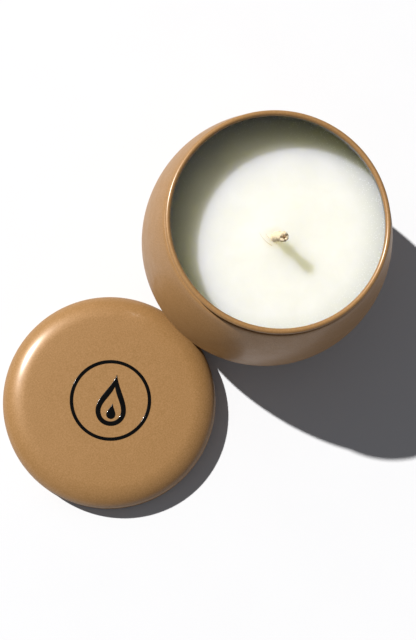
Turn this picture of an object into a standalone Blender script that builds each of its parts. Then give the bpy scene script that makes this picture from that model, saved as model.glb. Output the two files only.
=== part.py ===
"""Candle tin: a round-bellied drawn tin with poured wax and a cotton wick, and its
slip-on lid lying beside it.

Units are metres, +Z is up and the ground is z = 0. The origin is at the bottom centre
of the whole object's box. +X runs from the lid to the tin.
"""
import math

import bmesh
import bpy
from mathutils import Vector

MM = 0.001

# Driving dimensions
BELLY_RADIUS = 40.0 * MM
TIN_HEIGHT = 65.0 * MM
LID_SKIRT_RADIUS = 35.5 * MM
LID_HEIGHT = 11.0 * MM
AXIS_DISTANCE = 70.0 * MM
SHEET = 0.35 * MM
GAP = 0.3 * MM
ROUND_STEPS = 48

# Tin: an egg-shaped belly between a flat foot and a stepped shoulder
BELLY_HEIGHT = TIN_HEIGHT / 2
LOWER_SEMI_HEIGHT = 48.5 * MM
UPPER_SEMI_HEIGHT = 57.4 * MM
BELLY_BOTTOM = 3.2 * MM
LEDGE_HEIGHT = TIN_HEIGHT - 3.7 * MM
LEDGE_OUTER_RADIUS = 34.1 * MM
BELLY_TOP = LEDGE_HEIGHT - 1.5 * MM
BELLY_STEPS = 12
FOOT_STEPS = 5
SHOULDER_STEPS = 5
FOOT_OUTER_RADIUS = 27.6 * MM
FOOT_INNER_RADIUS = 25.8 * MM
FOOT_CORNER_RADIUS = 29.9 * MM
RECESS_RADIUS = 24.2 * MM
RECESS_DEPTH = 1.2 * MM

# Rolled bead around the mouth
BEAD_RADIUS = 0.87 * MM
BEAD_CENTRE_RADIUS = 33.5 * MM
BEAD_CENTRE_HEIGHT = TIN_HEIGHT - BEAD_RADIUS
BEAD_STEPS = 12
NECK_OUTER_RADIUS = 33.3 * MM
NECK_INNER_RADIUS = NECK_OUTER_RADIUS - SHEET

# Lid: flat top, oval edge, short skirt and a rolled edge that stands a little proud.
# The lowest part of the rolled edge is flat, over an angle on each side of its middle.
LID_EDGE_WIDTH = 8.5 * MM
LID_EDGE_DROP = 5.7 * MM
LID_EDGE_STEPS = 10
CURL_RADIUS = 0.5 * MM
CURL_CENTRE_RADIUS = 35.2 * MM
CURL_FLAT_HALF_ANGLE = 20
CURL_STEPS = 5
LID_RADIUS = CURL_CENTRE_RADIUS + CURL_RADIUS

# Places of the two axes along X
LENGTH = LID_RADIUS + AXIS_DISTANCE + BELLY_RADIUS
LID_AXIS_X = LID_RADIUS - LENGTH / 2
TIN_AXIS_X = LID_AXIS_X + AXIS_DISTANCE

# Wax, and what stands in it
WAX_TOP = TIN_HEIGHT - 12.0 * MM
WAX_BOTTOM = RECESS_DEPTH + SHEET + GAP
WAX_BOTTOM_RADIUS = 24.5 * MM
WICK_OFFSET = Vector((-1.8, -2.0, 0.0)) * MM
WICK_RADIUS = 1.4 * MM
WICK_HOLLOW_RADIUS = 0.8 * MM
CORE_RADIUS = 0.55 * MM
WICK_LEAN = Vector((-1.0, -2.6, 13.4)) * MM
WICK_BEND_LEAD = 3.0 * MM
WICK_BEND_STEPS = 6
WICK_SIDES = 12
STICKER_RADIUS = 9.0 * MM
STICKER_THICKNESS = 0.6 * MM
TAB_RADIUS = 8.5 * MM
TAB_THICKNESS = 0.3 * MM
COLLAR_RADIUS = 2.0 * MM
COLLAR_HEIGHT = 4.5 * MM
FLAT_GAP = 0.05 * MM
LABEL_RADIUS = 21.0 * MM
LABEL_THICKNESS = 0.2 * MM

# Raised emblem on the lid: a plain ring around a candle flame
EMBLEM_GAP = 0.02 * MM
EMBLEM_THICKNESS = 0.2 * MM
RING_OUTER_RADIUS = 13.4 * MM
RING_WIDTH = 1.1 * MM
FLAME_HEIGHT = 17.0 * MM
FLAME_HALF_WIDTH = 5.0 * MM
FLAME_HOLE_SCALE = 0.68
FLAME_HOLE_LIFT = 1.5 * MM
DROP_SCALE = 0.3
DROP_LIFT = 2.3 * MM
FLAME_STEPS = 6
EMBLEM_TURN = math.radians(-44)

COLOURS = {
    "paint": ((0.47, 0.31, 0.19), 0.42, 0.0),
    "label_paper": ((0.80, 0.78, 0.74), 0.7, 0.0),
    "wax": ((0.90, 0.89, 0.82), 0.45, 0.0),
    "cotton": ((0.78, 0.73, 0.62), 0.9, 0.0),
    "core_thread": ((0.45, 0.38, 0.28), 0.9, 0.0),
    "tinplate": ((0.62, 0.62, 0.60), 0.3, 1.0),
    "adhesive_foam": ((0.85, 0.85, 0.83), 0.8, 0.0),
    "gloss_black": ((0.012, 0.012, 0.012), 0.12, 0.0),
}


def material(name):
    colour, roughness, metallic = COLOURS[name]
    made = bpy.data.materials.get(name) or bpy.data.materials.new(name)
    made.use_nodes = True
    shader = made.node_tree.nodes["Principled BSDF"]
    shader.inputs["Base Color"].default_value = (*colour, 1.0)
    shader.inputs["Roughness"].default_value = roughness
    shader.inputs["Metallic"].default_value = metallic
    return made


def add_object(name, bm, location, material_name, parent=None):
    """Turn a bmesh into a smooth-shaded object at a place in the world."""
    mesh = bpy.data.meshes.new(name)
    bm.to_mesh(mesh)
    bm.free()
    mesh.materials.append(material(material_name))
    mesh.shade_smooth()
    mesh.set_sharp_from_angle(angle=math.radians(35))
    made = bpy.data.objects.new(name, mesh)
    bpy.context.scene.collection.objects.link(made)
    made.location = location
    if parent:
        made.parent = parent
        made.location = Vector(location) - parent.location
    return made


def oval_arc(centre, radii, start, end, count):
    """Points on an oval arc from one angle to another, in degrees, both ends included."""
    points = []
    for index in range(count):
        angle = math.radians(start + (end - start) * index / (count - 1))
        points.append((centre[0] + radii[0] * math.cos(angle), centre[1] + radii[1] * math.sin(angle)))
    return points


def corner_curve(start, corner, end, count):
    """Points on a smooth curve that leaves start towards corner and arrives at end from it."""
    points = []
    for index in range(count):
        t = index / (count - 1)
        weights = ((1 - t) ** 2, 2 * t * (1 - t), t ** 2)
        points.append(tuple(
            weights[0] * start[axis] + weights[1] * corner[axis] + weights[2] * end[axis]
            for axis in (0, 1)))
    return points


def turned(profile, closed=False):
    """Turn a profile of (radius, height) points once around Z into a closed surface."""
    bm = bmesh.new()
    verts = [bm.verts.new((radius, 0.0, height)) for radius, height in profile]
    edges = [bm.edges.new(pair) for pair in zip(verts, verts[1:])]
    if closed:
        edges.append(bm.edges.new((verts[-1], verts[0])))
    bmesh.ops.spin(
        bm, geom=verts + edges, cent=(0, 0, 0), axis=(0, 0, 1), angle=math.tau,
        steps=ROUND_STEPS, use_merge=True)
    bmesh.ops.remove_doubles(bm, verts=bm.verts, dist=0.001 * MM)
    bmesh.ops.recalc_face_normals(bm, faces=bm.faces)
    return bm


def belly_radius(height, inset=0.0):
    """Radius of the belly at a height, moved inwards by inset."""
    rise = height - BELLY_HEIGHT
    semi_height = UPPER_SEMI_HEIGHT if rise > 0 else LOWER_SEMI_HEIGHT
    return BELLY_RADIUS * math.sqrt(1 - (rise / semi_height) ** 2) - inset


def belly_profile(low, high, inset=0.0, count=BELLY_STEPS):
    heights = [low + (high - low) * index / (count - 1) for index in range(count)]
    return [(belly_radius(height, inset), height) for height in heights]


def tin_outside():
    """Outer profile, from the centre of the recessed base up to the neck."""
    foot_end = (belly_radius(BELLY_BOTTOM), BELLY_BOTTOM)
    shoulder_start = (belly_radius(BELLY_TOP), BELLY_TOP)
    shoulder_corner = (belly_radius(LEDGE_HEIGHT), LEDGE_HEIGHT)
    return (
        [(0.0, RECESS_DEPTH), (RECESS_RADIUS, RECESS_DEPTH), (FOOT_INNER_RADIUS, 0.0)]
        + corner_curve((FOOT_OUTER_RADIUS, 0.0), (FOOT_CORNER_RADIUS, 0.0), foot_end, FOOT_STEPS)
        + belly_profile(BELLY_BOTTOM, BELLY_TOP)[1:-1]
        + corner_curve(shoulder_start, shoulder_corner, (LEDGE_OUTER_RADIUS, LEDGE_HEIGHT), SHOULDER_STEPS)
        + [(NECK_OUTER_RADIUS, LEDGE_HEIGHT)])


def bead_profile():
    """The rolled bead, from where it leaves the neck outside, over the top, to the neck inside."""
    centre = (BEAD_CENTRE_RADIUS, BEAD_CENTRE_HEIGHT)
    outside = math.degrees(math.acos((NECK_OUTER_RADIUS - BEAD_CENTRE_RADIUS) / BEAD_RADIUS))
    inside = 360 - math.degrees(math.acos((NECK_INNER_RADIUS - BEAD_CENTRE_RADIUS) / BEAD_RADIUS))
    return oval_arc(centre, (BEAD_RADIUS, BEAD_RADIUS), -outside, inside, BEAD_STEPS)


def tin_inside():
    """Inner profile, from below the neck down to the centre of the floor."""
    foot_end = (belly_radius(BELLY_BOTTOM, SHEET), BELLY_BOTTOM)
    under_ledge = LEDGE_HEIGHT - SHEET
    down_belly = belly_profile(BELLY_BOTTOM, BELLY_TOP, SHEET)[::-1]
    foot_corner = (FOOT_CORNER_RADIUS - SHEET, SHEET)
    foot = corner_curve((FOOT_OUTER_RADIUS, SHEET), foot_corner, foot_end, FOOT_STEPS)
    return (
        [(NECK_INNER_RADIUS, under_ledge), (LEDGE_OUTER_RADIUS - SHEET, under_ledge)]
        + down_belly[:-1]
        + foot[::-1]
        + [(FOOT_INNER_RADIUS + SHEET, SHEET), (RECESS_RADIUS, RECESS_DEPTH + SHEET)]
        + [(0.0, RECESS_DEPTH + SHEET)])


def add_tin_body(tin):
    profile = tin_outside() + bead_profile() + tin_inside()
    add_object("tin_body", turned(profile), tin.location, "paint", tin)


def add_base_label(tin):
    top = RECESS_DEPTH - FLAT_GAP
    add_disc("base_label", LABEL_RADIUS, top - LABEL_THICKNESS, top, tin.location, "label_paper", tin)


def add_disc(name, radius, low, high, location, material_name, parent):
    profile = [(0.0, low), (radius, low), (radius, high), (0.0, high)]
    return add_object(name, turned(profile), location, material_name, parent)


def wick_axis(tin):
    return tin.location + WICK_OFFSET


def sticker_bottom():
    return RECESS_DEPTH + SHEET + FLAT_GAP


def tab_bottom():
    return sticker_bottom() + STICKER_THICKNESS + FLAT_GAP


def add_wax(tin):
    """The poured wax, with a well for the wick, its tab and its sticker."""
    inset = SHEET + GAP
    side = belly_profile(BELLY_BOTTOM + GAP, WAX_TOP, inset)
    profile = [(0.0, WAX_BOTTOM), (WAX_BOTTOM_RADIUS, WAX_BOTTOM)] + side + [(0.0, WAX_TOP)]
    wax = add_object("wax_fill", turned(profile), tin.location, "wax", tin)

    well_top = tab_bottom() + TAB_THICKNESS + GAP
    collar_top = tab_bottom() + COLLAR_HEIGHT + GAP
    above_wax = WAX_TOP + COLLAR_HEIGHT
    well = [
        (0.0, 0.0), (STICKER_RADIUS + GAP, 0.0), (STICKER_RADIUS + GAP, well_top),
        (COLLAR_RADIUS + GAP, well_top), (COLLAR_RADIUS + GAP, collar_top),
        (WICK_RADIUS + GAP, collar_top), (WICK_RADIUS + GAP, above_wax), (0.0, above_wax)]
    cutter = add_object("wick_well_cutter", turned(well), wick_axis(tin), "wax", tin)
    cutter.hide_render = True
    cutter.display_type = "WIRE"
    cut = wax.modifiers.new("wick_well", "BOOLEAN")
    cut.operation = "DIFFERENCE"
    cut.solver = "EXACT"
    cut.object = cutter


def add_wick_tab(tin):
    """Pressed metal tab: a disc with a collar that is crimped on the wick."""
    low = tab_bottom()
    top = low + TAB_THICKNESS
    bore = WICK_RADIUS + FLAT_GAP
    profile = [
        (bore, low), (TAB_RADIUS, low), (TAB_RADIUS, top), (COLLAR_RADIUS, top),
        (COLLAR_RADIUS, low + COLLAR_HEIGHT), (bore, low + COLLAR_HEIGHT)]
    add_object("wick_tab", turned(profile, closed=True), wick_axis(tin), "tinplate", tin)


def add_wick_sticker(tin):
    low = sticker_bottom()
    add_disc(
        "wick_sticker", STICKER_RADIUS, low, low + STICKER_THICKNESS, wick_axis(tin), "adhesive_foam", tin)


def wick_path():
    """Points up the wick: straight through the wax, then leaning over in one bend."""
    low = tab_bottom() + FLAT_GAP
    bend = Vector((0.0, 0.0, WAX_TOP + WICK_BEND_LEAD))
    tip = Vector((0.0, 0.0, WAX_TOP)) + WICK_LEAN
    start = Vector((0.0, 0.0, WAX_TOP))
    straight = [Vector((0.0, 0.0, low)), Vector((0.0, 0.0, (low + WAX_TOP) / 2))]
    bent = []
    for index in range(WICK_BEND_STEPS + 1):
        t = index / WICK_BEND_STEPS
        bent.append(start * (1 - t) ** 2 + bend * 2 * t * (1 - t) + tip * t ** 2)
    return straight + bent


def ring_around(bm, centre, direction, radius):
    """A ring of vertices square to direction, its first vertex towards +X."""
    side = Vector((1.0, 0.0, 0.0))
    side = (side - direction * side.dot(direction)).normalized()
    other = direction.cross(side)
    ring = []
    for index in range(WICK_SIDES):
        angle = math.tau * index / WICK_SIDES
        ring.append(bm.verts.new(centre + side * radius * math.cos(angle) + other * radius * math.sin(angle)))
    return ring


def tube(path, outer_radius, inner_radius):
    """A tube along a path, or a solid rod where the inner radius is zero."""
    bm = bmesh.new()
    rings = {outer_radius: [], inner_radius: []}
    for index, point in enumerate(path):
        before = path[max(index - 1, 0)]
        after = path[min(index + 1, len(path) - 1)]
        direction = (after - before).normalized()
        for radius in rings:
            if radius > 0:
                rings[radius].append(ring_around(bm, point, direction, radius))
    for ring_list in rings.values():
        for low, high in zip(ring_list, ring_list[1:]):
            for index in range(WICK_SIDES):
                following = (index + 1) % WICK_SIDES
                bm.faces.new((low[index], low[following], high[following], high[index]))
    outer = rings[outer_radius]
    inner = rings[inner_radius]
    for end in (0, -1):
        if not inner:
            bm.faces.new(outer[end])
            continue
        for index in range(WICK_SIDES):
            following = (index + 1) % WICK_SIDES
            bm.faces.new((
                outer[end][index], outer[end][following], inner[end][following], inner[end][index]))
    bmesh.ops.recalc_face_normals(bm, faces=bm.faces)
    return bm


def add_wick(tin):
    """Braided cotton sleeve around a core thread."""
    path = wick_path()
    add_object("wick_braid", tube(path, WICK_RADIUS, WICK_HOLLOW_RADIUS), wick_axis(tin), "cotton", tin)
    add_object("wick_core", tube(path, CORE_RADIUS, 0.0), wick_axis(tin), "core_thread", tin)


def add_lid_shell(lid):
    """Pressed lid: flat top, oval edge, skirt, and its lower edge rolled in."""
    flat_radius = LID_SKIRT_RADIUS - LID_EDGE_WIDTH
    edge_centre = (flat_radius, LID_HEIGHT - LID_EDGE_DROP)
    outside = oval_arc(edge_centre, (LID_EDGE_WIDTH, LID_EDGE_DROP), 90, 0, LID_EDGE_STEPS)
    inside = oval_arc(edge_centre, (LID_EDGE_WIDTH - SHEET, LID_EDGE_DROP - SHEET), 0, 90, LID_EDGE_STEPS)
    curl_centre = (CURL_CENTRE_RADIUS, CURL_RADIUS)
    outer_angle = math.degrees(math.acos((LID_SKIRT_RADIUS - CURL_CENTRE_RADIUS) / CURL_RADIUS))
    inner_angle = math.degrees(math.acos((LID_SKIRT_RADIUS - SHEET - CURL_CENTRE_RADIUS) / CURL_RADIUS))
    radii = (CURL_RADIUS, CURL_RADIUS)
    curl = oval_arc(curl_centre, radii, outer_angle, -90 + CURL_FLAT_HALF_ANGLE, CURL_STEPS)
    curl += oval_arc(curl_centre, radii, -90 - CURL_FLAT_HALF_ANGLE, inner_angle - 360, CURL_STEPS)
    lowest = min(height for radius, height in curl)
    curl = [(radius, max(height - lowest, 0.0)) for radius, height in curl]
    profile = [(0.0, LID_HEIGHT)] + outside + curl + inside + [(0.0, LID_HEIGHT - SHEET)]
    add_object("lid_shell", turned(profile), lid.location, "paint", lid)


def emblem_base(lid):
    return lid.location + Vector((0.0, 0.0, LID_HEIGHT + EMBLEM_GAP))


def add_emblem_ring(lid):
    inner = RING_OUTER_RADIUS - RING_WIDTH
    profile = [
        (inner, 0.0), (RING_OUTER_RADIUS, 0.0),
        (RING_OUTER_RADIUS, EMBLEM_THICKNESS), (inner, EMBLEM_THICKNESS)]
    add_object("emblem_ring", turned(profile, closed=True), emblem_base(lid), "gloss_black", lid)


def cubic_curve(points, count):
    """Points on a cubic Bezier curve, without its last one."""
    curve = []
    for index in range(count):
        t = index / count
        weights = ((1 - t) ** 3, 3 * t * (1 - t) ** 2, 3 * t ** 2 * (1 - t), t ** 3)
        curve.append(Vector([sum(w * p[axis] for w, p in zip(weights, points)) for axis in (0, 1)]))
    return curve


def flame_outline(scale, lift):
    """A candle flame: round at the foot, drawn up to a tip that leans to one side.

    The curves are given in half widths across and heights up, from the middle of the foot.
    """
    tip = (0.45, 1.0)
    round_foot = ((0.0, 0.0), (0.6, 0.0), (1.0, 0.14), (1.0, 0.3))
    right_side = ((1.0, 0.3), (1.0, 0.52), (0.55, 0.72), tip)
    left_side = (tip, (0.1, 0.74), (-1.0, 0.55), (-1.0, 0.3))
    other_foot = [(-across, up) for across, up in reversed(round_foot)]
    outline = []
    for curve in (round_foot, right_side, left_side, other_foot):
        outline += cubic_curve(curve, FLAME_STEPS)
    size = Vector((FLAME_HALF_WIDTH, FLAME_HEIGHT)) * scale
    foot = Vector((0.0, lift - FLAME_HEIGHT / 2))
    return [foot + Vector((point.x * size.x, point.y * size.y)) for point in outline]


def extruded(outline, hole=None):
    """A flat plate of the outline's shape, with a hole whose outline has as many points."""
    bm = bmesh.new()
    levels = (0.0, EMBLEM_THICKNESS)
    outer = [[bm.verts.new((p.x, p.y, z)) for p in outline] for z in levels]
    inner = [[bm.verts.new((p.x, p.y, z)) for p in hole] for z in levels] if hole else None
    count = len(outline)
    for loops in filter(None, (outer, inner)):
        for index in range(count):
            following = (index + 1) % count
            bm.faces.new((loops[0][index], loops[0][following], loops[1][following], loops[1][index]))
    for level in (0, 1):
        if not inner:
            bm.faces.new(outer[level])
            continue
        for index in range(count):
            following = (index + 1) % count
            bm.faces.new((
                outer[level][index], outer[level][following],
                inner[level][following], inner[level][index]))
    bmesh.ops.recalc_face_normals(bm, faces=bm.faces)
    return bm


def add_emblem_flame(lid):
    """A flame drawn as a band, and a small drop inside it."""
    band = extruded(flame_outline(1.0, 0.0), flame_outline(FLAME_HOLE_SCALE, FLAME_HOLE_LIFT))
    drop = extruded(flame_outline(DROP_SCALE, DROP_LIFT))
    for name, shape in (("emblem_flame", band), ("emblem_drop", drop)):
        piece = add_object(name, shape, emblem_base(lid), "gloss_black", lid)
        piece.rotation_euler.z = EMBLEM_TURN


def add_frame(name, x):
    """An empty on an axis of the object, which its pieces are parented to."""
    frame = bpy.data.objects.new(name, None)
    bpy.context.scene.collection.objects.link(frame)
    frame.location = (x, 0.0, 0.0)
    return frame


def main():
    for existing in list(bpy.data.objects):
        bpy.data.objects.remove(existing, do_unlink=True)

    tin = add_frame("tin_axis", TIN_AXIS_X)
    add_tin_body(tin)
    add_base_label(tin)
    add_wick_sticker(tin)
    add_wick_tab(tin)
    add_wick(tin)
    add_wax(tin)

    lid = add_frame("lid_axis", LID_AXIS_X)
    add_lid_shell(lid)
    add_emblem_ring(lid)
    add_emblem_flame(lid)


main()
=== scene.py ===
"""Looks for the candle tin: painted tin and lid, poured wax, braided wick and raised emblem."""
import math
import random

import bmesh
import bpy
import numpy as np
from mathutils import Matrix, Vector


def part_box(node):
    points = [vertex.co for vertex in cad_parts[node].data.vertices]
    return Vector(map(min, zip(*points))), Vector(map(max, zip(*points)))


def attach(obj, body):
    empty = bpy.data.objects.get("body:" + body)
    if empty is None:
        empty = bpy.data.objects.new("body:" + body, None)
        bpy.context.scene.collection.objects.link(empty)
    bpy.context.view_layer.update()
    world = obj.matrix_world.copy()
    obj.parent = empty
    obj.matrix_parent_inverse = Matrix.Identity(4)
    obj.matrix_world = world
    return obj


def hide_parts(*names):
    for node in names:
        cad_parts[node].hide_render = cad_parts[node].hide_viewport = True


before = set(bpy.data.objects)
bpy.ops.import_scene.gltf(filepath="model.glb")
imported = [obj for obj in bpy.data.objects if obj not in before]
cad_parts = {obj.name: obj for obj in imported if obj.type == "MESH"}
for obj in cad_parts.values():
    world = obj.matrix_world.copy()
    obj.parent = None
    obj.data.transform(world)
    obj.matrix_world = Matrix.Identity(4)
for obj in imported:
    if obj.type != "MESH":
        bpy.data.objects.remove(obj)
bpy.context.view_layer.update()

MM = 0.001
RANDOM = random.Random(7)

# ---------------------------------------------------------------- sizes, from the frame
TIN_LOW, TIN_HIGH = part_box("tin_body")
LID_LOW, LID_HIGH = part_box("lid_shell")
WAX_LOW, WAX_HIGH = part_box("wax_fill")
TAB_LOW, TAB_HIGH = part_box("wick_tab")
STICKER_LOW, STICKER_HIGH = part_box("wick_sticker")
LABEL_LOW, LABEL_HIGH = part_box("base_label")
RING_LOW, RING_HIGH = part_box("emblem_ring")
WICK_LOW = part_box("wick_braid")[0]

TIN_X = (TIN_LOW[0] + TIN_HIGH[0]) / 2
LID_X = (LID_LOW[0] + LID_HIGH[0]) / 2
TIN_AXIS = Vector((TIN_X, 0.0, 0.0))
LID_AXIS = Vector((LID_X, 0.0, 0.0))
WICK_AXIS = Vector(((TAB_LOW[0] + TAB_HIGH[0]) / 2, (TAB_LOW[1] + TAB_HIGH[1]) / 2, 0.0))
WAX_TOP = WAX_HIGH[2]
BELLY_RADIUS = (TIN_HIGH[0] - TIN_LOW[0]) / 2
TIN_HEIGHT = TIN_HIGH[2]
LID_HEIGHT = LID_HIGH[2]
LID_RADIUS = (LID_HIGH[0] - LID_LOW[0]) / 2

SHEET = 0.3 * MM
TURN_STEPS = 192

# tin outline
BELLY_HEIGHT = TIN_HEIGHT / 2
LOWER_SEMI_HEIGHT = 48.5 * MM
UPPER_SEMI_HEIGHT = 57.4 * MM
BELLY_BOTTOM = 3.2 * MM
BELLY_STEPS = 44
FOOT_OUTER_RADIUS = 27.6 * MM
FOOT_INNER_RADIUS = 25.8 * MM
FOOT_CORNER_RADIUS = 29.9 * MM
RECESS_RADIUS = 24.2 * MM
RECESS_DEPTH = 1.2 * MM
LEDGE_HEIGHT = TIN_HEIGHT - 3.7 * MM
BELLY_TOP = LEDGE_HEIGHT - 1.5 * MM
LEDGE_OUTER_RADIUS = 34.1 * MM
BEAD_RADIUS = 0.87 * MM
BEAD_CENTRE = Vector((33.5 * MM, TIN_HEIGHT - BEAD_RADIUS))
NECK_OUTER_RADIUS = 33.3 * MM
BEAD_CURL_START = 215
BEAD_CURL_END = -95
BEAD_STEPS = 30

# lid outline
LID_EDGE_WIDTH = 8.5 * MM
LID_EDGE_DROP = 5.5 * MM
LID_EDGE_START = 85
LID_EDGE_BOTTOM = 5.3 * MM
LID_FLAT_RADIUS = 15.0 * MM
CURL_RADIUS = 0.5 * MM
CURL_CENTRE = Vector((LID_RADIUS - CURL_RADIUS, CURL_RADIUS))
SKIRT_RADIUS = LID_RADIUS - 0.2 * MM

# wick
WICK_RADIUS = 1.4 * MM
CORE_RADIUS = 0.55 * MM
WICK_LEAN = Vector((-1.0, -2.6, 13.05)) * MM
WICK_BEND_LEAD = 3.0 * MM
WICK_FOOT = WICK_LOW[2]
STRAND_COUNT = 8
STRAND_RADIUS = 0.46 * MM
BRAID_PITCH = 5.0 * MM
BRAID_STEP = 0.16 * MM
KNOT_PITCH = 6.4 * MM
KNOT_SWELL = 0.24
CORE_PITCH = 3.0 * MM
CORE_STEP = 0.25 * MM

# emblem
RING_RADIUS = (RING_HIGH[0] - RING_LOW[0]) / 2
RING_WIDTH = 1.1 * MM
EMBLEM_BASE = RING_LOW[2]
EMBLEM_THICKNESS = RING_HIGH[2] - RING_LOW[2]
EMBLEM_SOFT = 0.16 * MM
FLAME_HEIGHT = 17.0 * MM
FLAME_HALF_WIDTH = 5.0 * MM
FLAME_HOLE_SCALE = 0.68
FLAME_HOLE_LIFT = 1.5 * MM
DROP_SCALE = 0.3
DROP_LIFT = 2.3 * MM
EMBLEM_TURN = math.radians(-44)


# ---------------------------------------------------------------- node helpers
class Shader:
    """A material with a Principled BSDF and short calls for the nodes that feed it."""

    def __init__(self, name, **values):
        self.material = bpy.data.materials.new(name)
        self.material.use_nodes = True
        self.nodes = self.material.node_tree.nodes
        self.links = self.material.node_tree.links
        self.bsdf = self.nodes["Principled BSDF"]
        for socket, value in values.items():
            self.bsdf.inputs[socket.replace("_", " ")].default_value = value
        self.position = self.nodes.new("ShaderNodeTexCoord").outputs["Object"]

    def noise(self, scale, detail=2.0, roughness=0.5, distortion=0.0):
        node = self.nodes.new("ShaderNodeTexNoise")
        node.inputs["Scale"].default_value = scale
        node.inputs["Detail"].default_value = detail
        node.inputs["Roughness"].default_value = roughness
        node.inputs["Distortion"].default_value = distortion
        self.links.new(self.position, node.inputs["Vector"])
        return node.outputs["Fac"]

    def cells(self, scale):
        node = self.nodes.new("ShaderNodeTexVoronoi")
        node.inputs["Scale"].default_value = scale
        self.links.new(self.position, node.inputs["Vector"])
        return node.outputs["Distance"]

    def away_from(self, axis):
        """Distance from an upright axis."""
        level = self.nodes.new("ShaderNodeVectorMath")
        level.operation = "MULTIPLY"
        level.inputs[1].default_value = (1.0, 1.0, 0.0)
        self.links.new(self.position, level.inputs[0])
        reach = self.nodes.new("ShaderNodeVectorMath")
        reach.operation = "DISTANCE"
        reach.inputs[1].default_value = (axis.x, axis.y, 0.0)
        self.links.new(level.outputs["Vector"], reach.inputs[0])
        return reach.outputs["Value"]

    def spread(self, value, low, high, to_low=0.0, to_high=1.0):
        node = self.nodes.new("ShaderNodeMapRange")
        numbers = {"From Min": low, "From Max": high, "To Min": to_low, "To Max": to_high}
        for name, number in numbers.items():
            node.inputs[name].default_value = number
        self.links.new(value, node.inputs["Value"])
        return node.outputs["Result"]

    def math(self, operation, first, second):
        node = self.nodes.new("ShaderNodeMath")
        node.operation = operation
        for socket, value in zip(node.inputs, (first, second)):
            if isinstance(value, (int, float)):
                socket.default_value = value
            else:
                self.links.new(value, socket)
        return node.outputs["Value"]

    def blend(self, factor, first, second):
        node = self.nodes.new("ShaderNodeMix")
        node.data_type = "RGBA"
        self.links.new(factor, node.inputs["Factor"])
        for socket, value in zip((node.inputs["A"], node.inputs["B"]), (first, second)):
            if isinstance(value, tuple):
                socket.default_value = (*value, 1.0)
            else:
                self.links.new(value, socket)
        return node.outputs["Result"]

    def bump(self, height, distance, strength=1.0, below=None):
        node = self.nodes.new("ShaderNodeBump")
        node.inputs["Strength"].default_value = strength
        node.inputs["Distance"].default_value = distance
        self.links.new(height, node.inputs["Height"])
        if below is not None:
            self.links.new(below, node.inputs["Normal"])
        return node.outputs["Normal"]

    def feed(self, socket, value):
        self.links.new(value, self.bsdf.inputs[socket])


# ---------------------------------------------------------------- materials
PAINT = (0.218, 0.115, 0.037)
PAINT_LIGHT = (0.230, 0.122, 0.041)


def paint_material():
    """Satin paint with a powdery grain, cloudy tone and a few pale dust specks."""
    paint = Shader(
        "tan_satin_paint", Metallic=0.12, Specular_IOR_Level=0.15,
        Coat_Weight=0.13, Coat_Roughness=0.25, Coat_IOR=2.5)
    cloud = paint.spread(paint.noise(45, 3), 0.3, 0.7)
    grain = paint.noise(2300, 2, 0.6)
    speck = paint.cells(420)
    tone = paint.blend(cloud, PAINT, PAINT_LIGHT)
    grainy = paint.blend(paint.spread(grain, 0.35, 0.75, 0.0, 0.5), tone, (0.36, 0.20, 0.09))
    dusty = paint.blend(paint.spread(speck, 0.0, 0.045, 0.35, 0.0), grainy, (0.62, 0.50, 0.38))
    paint.feed("Base Color", dusty)
    paint.feed("Roughness", paint.spread(paint.noise(260, 3), 0.3, 0.7, 0.44, 0.54))
    peel = paint.bump(paint.noise(900, 2), 0.00002, 0.35)
    paint.feed("Normal", paint.bump(grain, 0.00001, 0.5, peel))
    return paint.material


def metal_material(name, dark, light):
    """Unpainted sheet: drawn and slightly blotchy."""
    plate = Shader(name, Metallic=1.0)
    blotch = plate.spread(plate.noise(120, 4, 0.6), 0.3, 0.7)
    plate.feed("Base Color", plate.blend(blotch, dark, light))
    plate.feed("Roughness", plate.spread(plate.noise(700, 3), 0.3, 0.7, 0.22, 0.34))
    plate.feed("Normal", plate.bump(plate.noise(1800, 3), 0.00001, 0.4))
    return plate.material


def wax_material():
    """Cream wax: light spreads under its surface. It is flecked near the wall, painted darker towards the
    wall as shade, and yellows at the wick.
    """
    wax = Shader(
        "cream_wax", Subsurface_Weight=1.0, Subsurface_Radius=(1.0, 0.95, 0.6),
        Subsurface_Scale=0.032, IOR=1.44)
    frost = wax.spread(wax.noise(95, 5, 0.62, 0.4), 0.42, 0.72)
    poured = wax.blend(frost, (0.640, 0.638, 0.578), (0.668, 0.666, 0.612))
    # Painted shade: towards the wall the wax is mixed with a darker olive tone, for light lost into the wall.
    near_wall = wax.spread(wax.away_from(TIN_AXIS), BELLY_RADIUS - 13 * MM, BELLY_RADIUS - 5 * MM)
    wall_shade_painted = wax.blend(wax.math("MULTIPLY", near_wall, 0.7), poured, (0.52, 0.53, 0.43))
    specks = wax.spread(wax.cells(1500), 0.12, 0.28, 1.0, 0.0)
    frosted = wax.blend(wax.math("MULTIPLY", specks, near_wall), wall_shade_painted, (0.80, 0.81, 0.76))
    # The wax is tinted tan within about 4 mm of the wick.
    tan_round_wick = wax.spread(wax.away_from(WICK_AXIS), WICK_RADIUS, 4 * MM, 0.55, 0.0)
    wax.feed("Base Color", wax.blend(tan_round_wick, frosted, (0.62, 0.55, 0.38)))
    wax.feed("Roughness", wax.spread(wax.noise(210, 4), 0.3, 0.7, 0.38, 0.55))
    swell = wax.bump(wax.noise(60, 2), 0.0004, 0.25)
    grain = wax.bump(wax.noise(1500, 3), 0.00002, 0.3, swell)
    wax.feed("Normal", wax.bump(wax.math("MULTIPLY", specks, near_wall), 0.00006, 0.5, grain))
    return wax.material


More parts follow.
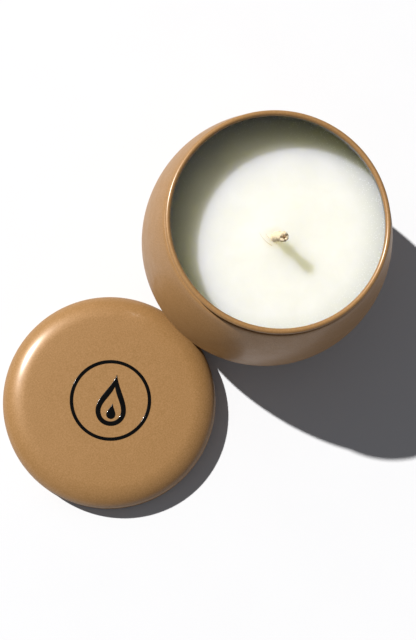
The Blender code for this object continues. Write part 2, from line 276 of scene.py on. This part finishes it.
def cotton_material(name, pale, dark):
    """Waxed cotton yarn: a fine twist of fibres. A fine random mix of its pale and dark tones gives the
    fibres' own tone and painted shade between them.
    """
    cotton = Shader(name, Subsurface_Weight=0.3, Subsurface_Radius=(1.0, 0.9, 0.75), Subsurface_Scale=0.001)
    fibre = cotton.noise(9000, 3, 0.7, 1.5)
    stain = cotton.spread(cotton.noise(900, 2), 0.35, 0.7)
    # Fibre tone and painted shade between fibres: fine noise mixes the dark tone into the pale one.
    yarn = cotton.blend(cotton.spread(fibre, 0.3, 0.7), dark, pale)
    cotton.feed("Base Color", cotton.blend(cotton.math("MULTIPLY", stain, 0.3), yarn, dark))
    cotton.feed("Roughness", cotton.spread(fibre, 0.3, 0.7, 0.95, 0.7))
    cotton.feed("Normal", cotton.bump(fibre, 0.00005, 0.7))
    return cotton.material


def label_material():
    """Coated paper: off-white with faint fibres."""
    paper = Shader("blank_label_paper")
    fibre = paper.noise(2600, 4, 0.65, 0.8)
    tone = paper.spread(fibre, 0.3, 0.7)
    paper.feed("Base Color", paper.blend(tone, (0.76, 0.74, 0.70), (0.83, 0.81, 0.77)))
    paper.feed("Roughness", paper.spread(fibre, 0.3, 0.7, 0.55, 0.7))
    paper.feed("Normal", paper.bump(fibre, 0.00002, 0.5))
    return paper.material


def foam_material():
    """Adhesive foam: white with small open cells."""
    foam = Shader("white_foam", Roughness=0.85)
    cell = foam.cells(2800)
    foam.feed("Base Color", foam.blend(foam.spread(cell, 0.0, 0.5), (0.70, 0.70, 0.68), (0.88, 0.88, 0.86)))
    foam.feed("Normal", foam.bump(cell, 0.0001, 0.6))
    return foam.material


def gloss_black_material():
    """Gloss black enamel with a faint swirl and dust that softens its shine."""
    black = Shader("gloss_black_enamel", Coat_Weight=0.15, Coat_Roughness=0.08, Specular_IOR_Level=0.2)
    haze = black.noise(380, 3)
    tone = black.spread(haze, 0.3, 0.7)
    black.feed("Base Color", black.blend(tone, (0.0006, 0.0006, 0.0006), (0.0015, 0.0014, 0.0012)))
    black.feed("Roughness", black.spread(haze, 0.3, 0.7, 0.10, 0.22))
    black.feed("Normal", black.bump(black.noise(1400, 2), 0.00001, 0.25))
    return black.material


def floor_material():
    """Plain pale table top."""
    table = Shader("pale_table", Roughness=0.75)
    table.feed("Base Color", table.blend(table.noise(30, 2), (0.550, 0.556, 0.574), (0.565, 0.571, 0.589)))
    return table.material


PAINTED = paint_material()
BARE = metal_material("bare_tinplate", (0.34, 0.335, 0.32), (0.44, 0.435, 0.42))
# Inside of the tin: the same blotchy sheet in a much darker tone, as painted shade for the shaded inner wall.
SHADE_DARKENED_STEEL = metal_material("tinplate_darkened_as_shade", (0.085, 0.08, 0.07), (0.13, 0.125, 0.11))
WAX = wax_material()
COTTON = cotton_material("waxed_cotton", (0.74, 0.64, 0.47), (0.50, 0.37, 0.21))
CORE = cotton_material("core_yarn", (0.44, 0.29, 0.14), (0.20, 0.11, 0.05))
FLUFF = cotton_material("loose_cotton", (0.56, 0.47, 0.29), (0.38, 0.29, 0.16))
PAPER = label_material()
FOAM = foam_material()
BLACK = gloss_black_material()


# ---------------------------------------------------------------- outline helpers
def arc(centre, radii, start, end, count):
    """Points on an oval arc from one angle to another, in degrees, both ends included."""
    points = []
    for angle in np.radians(np.linspace(start, end, count)):
        points.append(Vector((centre.x + radii[0] * math.cos(angle), centre.y + radii[1] * math.sin(angle))))
    return points


def corner_curve(start, corner, end, count):
    """Points on a smooth curve that leaves start towards corner and arrives at end from it."""
    return [start * (1 - t) ** 2 + corner * 2 * t * (1 - t) + end * t ** 2 for t in np.linspace(0, 1, count)]


def rounded(before, corner, after, reach, count=6):
    """The corner between two straight runs, rounded over reach on each side."""
    start = corner + (before - corner).normalized() * reach
    end = corner + (after - corner).normalized() * reach
    return corner_curve(start, corner, end, count)


def offset(path, distance):
    """The path moved sideways by distance, to its left where distance is positive."""
    moved = []
    for index, point in enumerate(path):
        before = path[max(index - 1, 0)]
        after = path[min(index + 1, len(path) - 1)]
        along = (after - before).normalized()
        moved.append(point + Vector((-along.y, along.x)) * distance)
    return moved


def turned(name, profile, axis, materials, closed=False, second_from=None, steps=TURN_STEPS):
    """A surface turned round an upright axis. Profile points from second_from on take the second material."""
    rings = [(axis.x, axis.y, point.x, point.y) for point in profile]
    return ring_stack(name, rings, materials, closed, second_from, steps)


def ring_stack(name, rings, materials, closed=False, second_from=None, steps=TURN_STEPS):
    """A skin over level rings of (centre x, centre y, radius, height). A ring without radius is a point."""
    angles = np.linspace(0, math.tau, steps, endpoint=False)
    verts = []
    rows = []
    for x, y, radius, height in rings:
        if radius < 1e-7:
            rows.append([len(verts)] * steps)
            verts.append((x, y, height))
            continue
        rows.append(list(range(len(verts), len(verts) + steps)))
        verts.extend((x + radius * math.cos(a), y + radius * math.sin(a), height) for a in angles)
    pairs = list(zip(rows, rows[1:]))
    if closed:
        pairs.append((rows[-1], rows[0]))
    faces = []
    indices = []
    for level, (low, high) in enumerate(pairs):
        for step in range(steps):
            following = (step + 1) % steps
            corners = [low[step], low[following], high[following], high[step]]
            faces.append(list(dict.fromkeys(corners)))
            indices.append(1 if second_from is not None and level >= second_from else 0)
    return add_mesh(name, verts, faces, materials, indices)


def add_mesh(name, verts, faces, materials, indices=None, sharp=40):
    """A smooth-shaded object whose faces point outwards."""
    mesh = bpy.data.meshes.new(name)
    mesh.from_pydata([tuple(v) for v in verts], [], faces)
    for material in materials:
        mesh.materials.append(material)
    if indices:
        mesh.polygons.foreach_set("material_index", indices)
    bm = bmesh.new()
    bm.from_mesh(mesh)
    bmesh.ops.recalc_face_normals(bm, faces=bm.faces)
    bm.to_mesh(mesh)
    bm.free()
    mesh.shade_smooth()
    mesh.set_sharp_from_angle(angle=math.radians(sharp))
    made = bpy.data.objects.new(name, mesh)
    bpy.context.scene.collection.objects.link(made)
    return made


def stands_for(piece, body, slot, *nodes):
    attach(piece, body)
    if nodes:
        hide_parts(*nodes)


# ---------------------------------------------------------------- tin
def belly_radius(height):
    rise = height - BELLY_HEIGHT
    semi_height = UPPER_SEMI_HEIGHT if rise > 0 else LOWER_SEMI_HEIGHT
    return BELLY_RADIUS * math.sqrt(1 - (rise / semi_height) ** 2)


def belly_point(height):
    return Vector((belly_radius(height), height))


def tin_outline():
    """The sheet's outer side, from the middle of the base to the end of the rolled bead."""
    centre = Vector((0.0, RECESS_DEPTH))
    recess = Vector((RECESS_RADIUS, RECESS_DEPTH))
    ring_in = Vector((FOOT_INNER_RADIUS, 0.0))
    ring_out = Vector((FOOT_OUTER_RADIUS, 0.0))
    ledge_out = Vector((LEDGE_OUTER_RADIUS, LEDGE_HEIGHT))
    ledge_in = Vector((NECK_OUTER_RADIUS, LEDGE_HEIGHT))
    hollow = BEAD_RADIUS - SHEET
    bead = arc(BEAD_CENTRE, (hollow, hollow), BEAD_CURL_START, BEAD_CURL_END, BEAD_STEPS)
    slope = math.tan(math.radians(BEAD_CURL_START - 90))
    neck_top = Vector((NECK_OUTER_RADIUS, bead[0].y + (NECK_OUTER_RADIUS - bead[0].x) * slope))
    path = [centre, Vector((RECESS_RADIUS * 0.5, RECESS_DEPTH))]
    path += rounded(centre, recess, ring_in, 0.7 * MM)
    path += rounded(recess, ring_in, ring_out, 0.7 * MM)
    path += corner_curve(ring_out, Vector((FOOT_CORNER_RADIUS, 0.0)), belly_point(BELLY_BOTTOM), 12)
    path += [belly_point(height) for height in np.linspace(BELLY_BOTTOM, BELLY_TOP, BELLY_STEPS)[1:-1]]
    path += corner_curve(belly_point(BELLY_TOP), belly_point(LEDGE_HEIGHT), ledge_out, 9)
    path += rounded(ledge_out, ledge_in, neck_top, 0.35 * MM)
    path += rounded(ledge_in, neck_top, bead[0], 0.3 * MM)[:-1]
    path += bead
    return path


def make_tin():
    outside = tin_outline()
    inside = offset(outside, SHEET)
    inside[0].x = 0.0
    profile = outside + inside[::-1]
    bead_start = len(outside) + BEAD_STEPS - 2
    # Inside faces below the bead take the darkened sheet: painted shade of the inner wall.
    tin = turned("tin_shell_painted", profile, TIN_AXIS, [PAINTED, SHADE_DARKENED_STEEL], second_from=bead_start)
    stands_for(tin, "tin", "tan_paint", "tin_body")


def make_base_label():
    radius = (LABEL_HIGH[0] - LABEL_LOW[0]) / 2
    low = LABEL_LOW[2]
    high = LABEL_HIGH[2]
    soft = 0.05 * MM
    profile = [Vector((0.0, low)), Vector((radius * 0.5, low)), Vector((radius - soft, low))]
    profile += [Vector((radius, low + soft)), Vector((radius, high)), Vector((radius * 0.5, high))]
    profile.append(Vector((0.0, high)))
    label = turned("blank_base_label", profile, TIN_AXIS, [PAPER])
    stands_for(label, "tin", "label_paper", "base_label")


# ---------------------------------------------------------------- wax
def make_wax():
    """Poured wax: it soaks the wick, rises to it in a low mound and climbs the wall a little."""
    wall_gap = SHEET + 0.05 * MM
    top_radius = belly_radius(WAX_TOP) - wall_gap
    offset_x = WICK_AXIS.x - TIN_X
    offset_y = WICK_AXIS.y
    rings = []

    def add(share, radius, height):
        """A ring whose centre is at the wick for share 0 and on the tin's axis for share 1."""
        rings.append((TIN_X + offset_x * (1 - share), offset_y * (1 - share), radius, height))

    for share in np.linspace(0, 1, 64) ** 1.5:
        radius = top_radius * share
        from_wick = max(radius - WICK_RADIUS, 0.0)
        from_wall = top_radius - radius
        mound = 0.5 * MM * math.exp(-(from_wick / (6.0 * MM)) ** 2)
        climb_wick = 0.25 * MM * math.exp(-from_wick / (0.5 * MM))
        climb_wall = 0.5 * MM * math.exp(-from_wall / (0.7 * MM))
        add(share, radius, WAX_TOP - 0.7 * MM + mound + climb_wick + climb_wall)
    for height in np.linspace(WAX_TOP - 0.25 * MM, BELLY_BOTTOM, 24):
        add(1, belly_radius(height) - wall_gap, height)

    low = WAX_LOW[2]
    tab_top = TAB_LOW[2] + 0.6 * MM
    collar_top = TAB_HIGH[2] + 0.3 * MM
    collar_radius = 2.3 * MM
    sticker_radius = (STICKER_HIGH[0] - STICKER_LOW[0]) / 2 + 0.3 * MM
    add(1, FOOT_OUTER_RADIUS, low + 0.6 * MM)
    add(1, RECESS_RADIUS, low)
    add(0, sticker_radius, low)
    add(0, sticker_radius, tab_top)
    add(0, collar_radius, tab_top)
    add(0, collar_radius, collar_top)
    add(0, 0.0, collar_top)
    wax = ring_stack("poured_wax", rings, [WAX])
    stands_for(wax, "tin", "wax", "wax_fill")


# ---------------------------------------------------------------- wick
def wick_points(count):
    """Points up the wick's middle: straight through the wax, then leaning over in one bend."""
    start = Vector((0.0, 0.0, WAX_TOP))
    bend = start + Vector((0.0, 0.0, WICK_BEND_LEAD))
    tip = start + WICK_LEAN
    straight = [Vector((0.0, 0.0, z)) for z in np.linspace(WICK_FOOT, WAX_TOP, count * 4, endpoint=False)]
    bent = corner_curve(start, bend, tip, count)
    return [WICK_AXIS + point for point in straight + bent]


def frames_along(points):
    """For each point: two directions square to the path, kept from twisting."""
    side = Vector((1.0, 0.0, 0.0))
    frames = []
    for index, point in enumerate(points):
        along = (points[min(index + 1, len(points) - 1)] - points[max(index - 1, 0)]).normalized()
        side = (side - along * side.dot(along)).normalized()
        frames.append((point, side, along.cross(side)))
    return frames


def tube_parts(points, radii, sides):
    """Vertices and faces of a closed tube along points, with a radius for each point."""
    verts = []
    faces = []
    for (point, side, other), radius in zip(frames_along(points), radii):
        for angle in np.linspace(0, math.tau, sides, endpoint=False):
            verts.append(point + (side * math.cos(angle) + other * math.sin(angle)) * radius)
    for ring in range(len(points) - 1):
        for step in range(sides):
            following = (step + 1) % sides
            a = ring * sides
            b = a + sides
            faces.append([a + step, a + following, b + following, b + step])
    faces.append(list(range(sides)))
    faces.append(list(range((len(points) - 1) * sides, len(points) * sides)))
    return verts, faces


def add_tubes(name, tubes, material):
    """One object from several closed tubes."""
    verts = []
    faces = []
    for tube_verts, tube_faces in tubes:
        first = len(verts)
        verts += tube_verts
        faces += [[first + index for index in face] for face in tube_faces]
    return add_mesh(name, verts, faces, [material], sharp=75)


def resampled(points, step):
    """The same path with its points a step apart."""
    out = [points[0]]
    left = step
    for low, high in zip(points, points[1:]):
        span = (high - low).length
        place = 0.0
        while span - place >= left:
            place += left
            out.append(low.lerp(high, place / span))
            left = step
        left -= span - place
    return out


def make_braid(middle):
    """A round braid of strands that pass over and under, each with its own yarn thickness."""
    middle_radius = WICK_RADIUS - STRAND_RADIUS - 0.05 * MM
    knot = [
        1 + KNOT_SWELL * math.cos(math.tau * (len(middle) - index) * BRAID_STEP / KNOT_PITCH - 2)
        for index in range(len(middle))]
    tubes = []
    for strand in range(STRAND_COUNT):
        way = 1 if strand % 2 else -1
        start = math.tau * strand / STRAND_COUNT
        points = []
        for index, (point, side, other) in enumerate(middle):
            turn = index * BRAID_STEP / BRAID_PITCH
            angle = start + way * math.tau * turn
            weave = math.cos(math.tau * turn * STRAND_COUNT / 2 + way * math.pi / 2)
            radius = (middle_radius + 0.12 * MM * weave) * knot[index]
            points.append(point + (side * math.cos(angle) + other * math.sin(angle)) * radius)
        points = points[:len(points) - RANDOM.randrange(3)]
        radii = [STRAND_RADIUS * RANDOM.uniform(0.92, 1.03) for _ in points]
        radii[-1] *= 0.6
        tubes.append(tube_parts(points, radii, 7))
    braid = add_tubes("wick_braided_sleeve", tubes, COTTON)
    stands_for(braid, "tin", "cotton", "wick_braid")


def make_core():
    """Three plies twisted round each other inside the braid."""
    core_frames = frames_along(resampled(wick_points(60), CORE_STEP))
    twisted = []
    for ply in range(3):
        points = []
        for index, (point, side, other) in enumerate(core_frames):
            angle = math.tau * (index * CORE_STEP / CORE_PITCH + ply / 3)
            points.append(point + (side * math.cos(angle) + other * math.sin(angle)) * CORE_RADIUS * 0.5)
        points = points[:len(points) - RANDOM.randrange(2)]
        twisted.append(tube_parts(points, [CORE_RADIUS * 0.52] * len(points), 8))
    core = add_tubes("wick_core_yarn", twisted, CORE)
    stands_for(core, "tin", "core_thread", "wick_core")


def fibre(start, heading, length, curl, radius):
    """A single bent fibre that thins towards its end."""
    points = [start]
    direction = heading.normalized()
    for _ in range(9):
        points.append(points[-1] + direction * length / 9)
        direction = (direction + curl / 9).normalized()
    radii = [radius * (1 - 0.7 * index / 9) for index in range(10)]
    return tube_parts(points, radii, 5)


def make_frays(tip):
    """Cut fibres round the wick's end."""
    point, side, other = tip
    along = side.cross(other)
    tubes = []
    for _ in range(46):
        angle = RANDOM.uniform(0, math.tau)
        out = side * math.cos(angle) + other * math.sin(angle)
        start = point + out * WICK_RADIUS * RANDOM.uniform(0.45, 0.85) - along * 0.2 * MM
        heading = along + out * RANDOM.uniform(-0.1, 0.35)
        curl = out * RANDOM.uniform(-0.6, 0.7)
        tubes.append(fibre(start, heading, RANDOM.uniform(0.35, 0.62) * MM, curl, 0.035 * MM))
    frays = add_tubes("wick_frayed_fibres", tubes, COTTON)
    stands_for(frays, "tin", "cotton")


def make_loose_fibres():
    """Three fibres that lie on the wax at the wick's foot."""
    lying = WICK_AXIS + Vector((0.0, 0.0, WAX_TOP - 0.12 * MM))
    loose = []
    for place, heading, length in (
            (Vector((-2.4, -1.3, 0.0)), Vector((-0.25, 1.0, -0.03)), 5.6 * MM),
            (Vector((-1.2, 0.5, 0.0)), Vector((-0.2, 0.9, 0.0)), 2.2 * MM),
            (Vector((0.4, -1.3, 0.0)), Vector((-1.0, -0.3, 0.0)), 1.8 * MM)):
        loose.append(fibre(lying + place * MM, heading, length, Vector((0.6, 0.1, 0.0)), 0.1 * MM))
    fluff = add_tubes("wick_loose_fibres", loose, FLUFF)
    stands_for(fluff, "tin", "cotton")


def make_wick():
    middle = frames_along(resampled(wick_points(60), BRAID_STEP))
    make_braid(middle)
    make_core()
    make_frays(middle[-1])
    make_loose_fibres()


def make_wick_tab():
    """Pressed tab with a raised rim ring and a crimped collar."""
    bore = WICK_RADIUS + 0.05 * MM
    radius = (TAB_HIGH[0] - TAB_LOW[0]) / 2
    low = TAB_LOW[2]
    high = TAB_HIGH[2]
    top = low + 0.3 * MM
    collar = 2.0 * MM
    corner = Vector((collar, top))
    profile = [Vector((bore, low)), Vector((radius - 0.1 * MM, low)), Vector((radius, low + 0.1 * MM))]
    profile += [Vector((radius - 0.1 * MM, top)), Vector((radius * 0.6, top))]
    profile += rounded(Vector((radius, top)), corner, Vector((collar, high)), 0.4 * MM)
    for height in np.linspace(top + 0.6 * MM, high - 0.3 * MM, 12):
        pinch = 0.12 * MM * math.sin(math.tau * (height - top) / (1.3 * MM)) ** 2
        profile.append(Vector((collar - pinch, height)))
    profile += [Vector((collar - 0.1 * MM, high)), Vector((bore, high))]
    tab = turned("wick_sustainer_tab", profile, WICK_AXIS, [BARE], closed=True, steps=96)
    stands_for(tab, "tin", "tinplate", "wick_tab")


def make_wick_sticker():
    radius = (STICKER_HIGH[0] - STICKER_LOW[0]) / 2
    low = STICKER_LOW[2]
    high = STICKER_HIGH[2]
    middle = Vector((radius - 0.2 * MM, (low + high) / 2))
    half = (high - low) / 2
    profile = [Vector((0.0, low))] + arc(middle, (0.2 * MM, half), -90, 90, 9) + [Vector((0.0, high))]
    sticker = turned("wick_foam_sticker", profile, WICK_AXIS, [FOAM], steps=96)
    stands_for(sticker, "tin", "adhesive_foam", "wick_sticker")


# ---------------------------------------------------------------- lid
def lid_outline():
    """The sheet's outer side, from the middle of the top to the end of the edge's roll."""
    edge_centre = Vector((SKIRT_RADIUS - LID_EDGE_WIDTH, LID_EDGE_BOTTOM))
    edge = arc(edge_centre, (LID_EDGE_WIDTH, LID_EDGE_DROP), LID_EDGE_START, 0, 32)
    crown_drop = LID_HEIGHT - edge[0].y
    crown_width = edge[0].x - LID_FLAT_RADIUS
    joins_skirt = math.degrees(math.acos((SKIRT_RADIUS - CURL_CENTRE.x) / CURL_RADIUS))
    roll = arc(CURL_CENTRE, (CURL_RADIUS, CURL_RADIUS), joins_skirt, -225, 24)
    path = []
    for radius in np.linspace(0.0, edge[0].x, 20)[:-1]:
        beyond = max(radius - LID_FLAT_RADIUS, 0.0) / crown_width
        path.append(Vector((radius, LID_HEIGHT - crown_drop * beyond ** 2)))
    path += edge
    path += [Vector((SKIRT_RADIUS, height)) for height in (4.0 * MM, 2.5 * MM, 1.4 * MM)]
    return path + roll


def make_lid():
    outside = lid_outline()
    inside = offset(outside, -SHEET)
    inside[0].x = 0.0
    profile = outside + inside[::-1]
    lid = turned("lid_shell_painted", profile, LID_AXIS, [PAINTED, BARE], second_from=len(outside))
    stands_for(lid, "lid", "tan_paint", "lid_shell")


# ---------------------------------------------------------------- emblem
def make_emblem_ring():
    inner = RING_RADIUS - RING_WIDTH
    middle = RING_RADIUS - RING_WIDTH / 2
    low = EMBLEM_BASE
    high = EMBLEM_BASE + EMBLEM_THICKNESS
    low_in = Vector((inner, low))
    low_out = Vector((RING_RADIUS, low))
    top = Vector((middle, high))
    out_corner = rounded(low_out, Vector((RING_RADIUS, high)), top, EMBLEM_SOFT)
    in_corner = rounded(top, Vector((inner, high)), low_in, EMBLEM_SOFT)
    profile = [low_in, low_out] + out_corner + in_corner
    ring = turned("emblem_circle", profile, LID_AXIS, [BLACK], closed=True)
    stands_for(ring, "lid", "gloss_black", "emblem_ring")


def cubic_curve(points, count):
    """Points on a cubic Bezier curve, without its last one."""
    curve = []
    for t in np.linspace(0, 1, count, endpoint=False):
        weights = ((1 - t) ** 3, 3 * t * (1 - t) ** 2, 3 * t ** 2 * (1 - t), t ** 3)
        curve.append(Vector([sum(w * p[axis] for w, p in zip(weights, points)) for axis in (0, 1)]))
    return curve


def flame_outline(scale, lift):
    """A candle flame, in half widths across and heights up from the middle of its foot."""
    tip = (0.45, 1.0)
    round_foot = ((0.0, 0.0), (0.6, 0.0), (1.0, 0.14), (1.0, 0.3))
    right_side = ((1.0, 0.3), (1.0, 0.52), (0.55, 0.72), tip)
    left_side = (tip, (0.1, 0.74), (-1.0, 0.55), (-1.0, 0.3))
    other_foot = [(-across, up) for across, up in reversed(round_foot)]
    outline = []
    for curve in (round_foot, right_side, left_side, other_foot):
        outline += cubic_curve(curve, 22)
    size = Vector((FLAME_HALF_WIDTH, FLAME_HEIGHT)) * scale
    foot = Vector((0.0, lift - FLAME_HEIGHT / 2))
    return [foot + Vector((point.x * size.x, point.y * size.y)) for point in outline]


def add_plate(name, outline, hole, node):
    """A raised plate of the outline's shape whose upper edges are rounded."""
    verts = []
    faces = []
    loops = [(outline, 1.0)] + ([(hole, -1.0)] if hole else [])
    count = len(outline)
    edge = [(0.0, 0.0)]
    for angle in np.radians((0, 30, 60, 90)):
        drop = EMBLEM_SOFT * (1 - math.sin(angle))
        edge.append((EMBLEM_SOFT * (1 - math.cos(angle)), EMBLEM_THICKNESS - drop))
    top = len(edge) - 1
    starts = []
    for loop, way in loops:
        start = len(verts)
        starts.append(start)
        for inset, height in edge:
            verts += [(p.x, p.y, height) for p in pulled_in(loop, inset * way)]
        for level in range(top):
            for step in range(count):
                following = (step + 1) % count
                a = start + level * count
                faces.append([a + step, a + following, a + count + following, a + count + step])
    for level in (0, top):
        first = starts[0] + level * count
        if not hole:
            faces.append([first + step for step in range(count)])
            continue
        second = starts[1] + level * count
        for step in range(count):
            following = (step + 1) % count
            faces.append([first + step, first + following, second + following, second + step])
    place = Matrix.Translation(LID_AXIS + Vector((0, 0, EMBLEM_BASE))) @ Matrix.Rotation(EMBLEM_TURN, 4, "Z")
    plate = add_mesh(name, [place @ Vector(v) for v in verts], faces, [BLACK])
    stands_for(plate, "lid", "gloss_black", node)


def pulled_in(loop, distance):
    """A closed outline moved to its left by distance."""
    moved = []
    for index, point in enumerate(loop):
        along = (loop[(index + 1) % len(loop)] - loop[index - 1]).normalized()
        moved.append(point + Vector((-along.y, along.x)) * distance)
    return moved


def make_emblem_flame():
    add_plate(
        "emblem_flame_band", flame_outline(1.0, 0.0), flame_outline(FLAME_HOLE_SCALE, FLAME_HOLE_LIFT),
        "emblem_flame")
    add_plate("emblem_flame_drop", flame_outline(DROP_SCALE, DROP_LIFT), None, "emblem_drop")


# ---------------------------------------------------------------- stage
CAMERA_FROM_TIN = Vector((-0.1002, -0.0217, 0.4466))
CAMERA_FORWARD = Vector((0.1750, 0.0130, -0.9845))
IMAGE_UP = Vector((0.6969, 0.7044, 0.1330))
CAMERA_LENS = 73.8
CAMERA_SHIFT = (-0.056, 0.023)
SUN_TRAVEL = Vector((0.1049, -0.6710, -0.7340))
SUN_STRENGTH = 6.7
SUN_WIDTH = math.radians(1.2)
SKY_STRENGTH = 0.19


def make_floor():
    size = 3.0
    corners = [(-size, -size, 0.0), (size, -size, 0.0), (size, size, 0.0), (-size, size, 0.0)]
    floor = add_mesh("table_top", corners, [[0, 1, 2, 3]], [floor_material()])


def make_lights():
    sun = bpy.data.lights.new("sun", "SUN")
    sun.energy = SUN_STRENGTH
    sun.angle = SUN_WIDTH
    sun.color = (1.0, 0.985, 0.955)
    lamp = bpy.data.objects.new("sun", sun)
    lamp.rotation_euler = SUN_TRAVEL.to_track_quat("-Z", "Y").to_euler()
    bpy.context.scene.collection.objects.link(lamp)
    world = bpy.data.worlds.new("pale_room")
    world.use_nodes = True
    background = world.node_tree.nodes["Background"]
    background.inputs["Color"].default_value = (0.93, 0.94, 1.0, 1.0)
    background.inputs["Strength"].default_value = SKY_STRENGTH
    bpy.context.scene.world = world
    bpy.context.scene.view_settings.view_transform = "Standard"


def make_camera():
    data = bpy.data.cameras.new("camera")
    data.sensor_width = 36
    data.lens = CAMERA_LENS
    data.shift_x = CAMERA_SHIFT[0]
    data.shift_y = CAMERA_SHIFT[1]
    camera = bpy.data.objects.new("camera", data)
    bpy.context.scene.collection.objects.link(camera)
    back = -CAMERA_FORWARD.normalized()
    right = IMAGE_UP.cross(back).normalized()
    up = back.cross(right)
    turn = Matrix((right, up, back)).transposed().to_4x4()
    camera.matrix_world = Matrix.Translation(TIN_AXIS + CAMERA_FROM_TIN) @ turn
    bpy.context.scene.camera = camera


make_camera()
make_tin()
make_base_label()
make_wax()
make_wick()
make_wick_tab()
make_wick_sticker()
make_lid()
make_emblem_ring()
make_emblem_flame()
make_floor()
make_lights()
